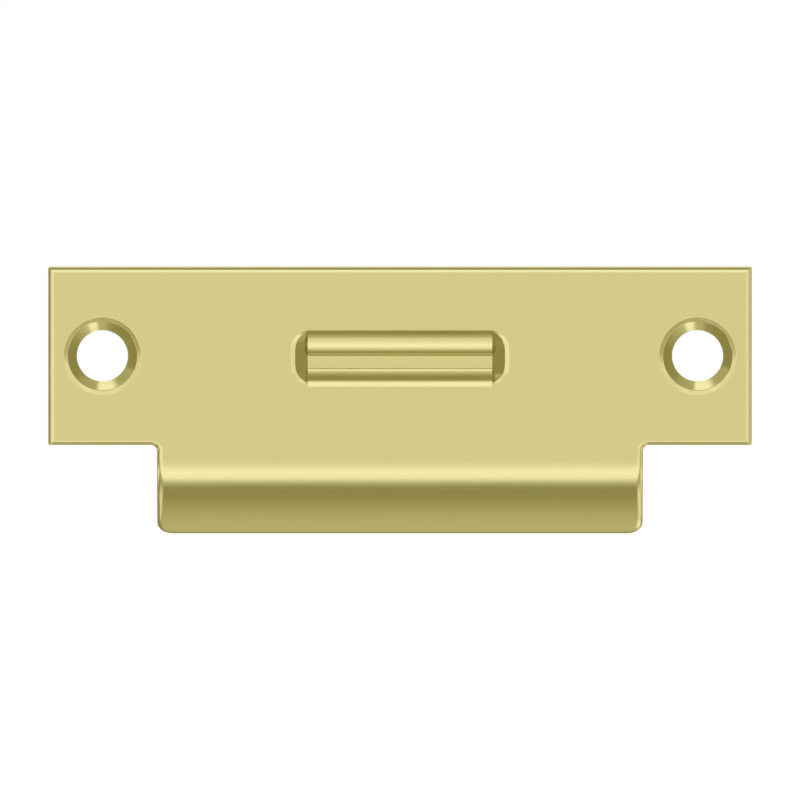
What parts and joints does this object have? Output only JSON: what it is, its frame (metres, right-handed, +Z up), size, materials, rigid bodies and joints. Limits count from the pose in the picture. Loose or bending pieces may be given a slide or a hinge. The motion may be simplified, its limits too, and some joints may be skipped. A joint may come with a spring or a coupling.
{
  "type": "door strike plate",
  "caption": "T-shaped brass strike plate for a roller latch: countersunk screw holes at its ends, a pressed pocket in its face and a lip curled back along one side.",
  "frame": {"origin": "midway between the two screw holes, on the flat back of the plate", "axes": "+X along the plate, +Y out of the back into the jamb, +Z up as pictured, with the lip at the bottom; on an upright jamb the X axis stands vertical"},
  "size_m": [0.1238, 0.0073, 0.047],
  "materials": {
    "brass": "polished brass with a soft sheen"
  },
  "bodies": {
    "root": {"strike_plate": "brass"}
  },
  "joints": []
}
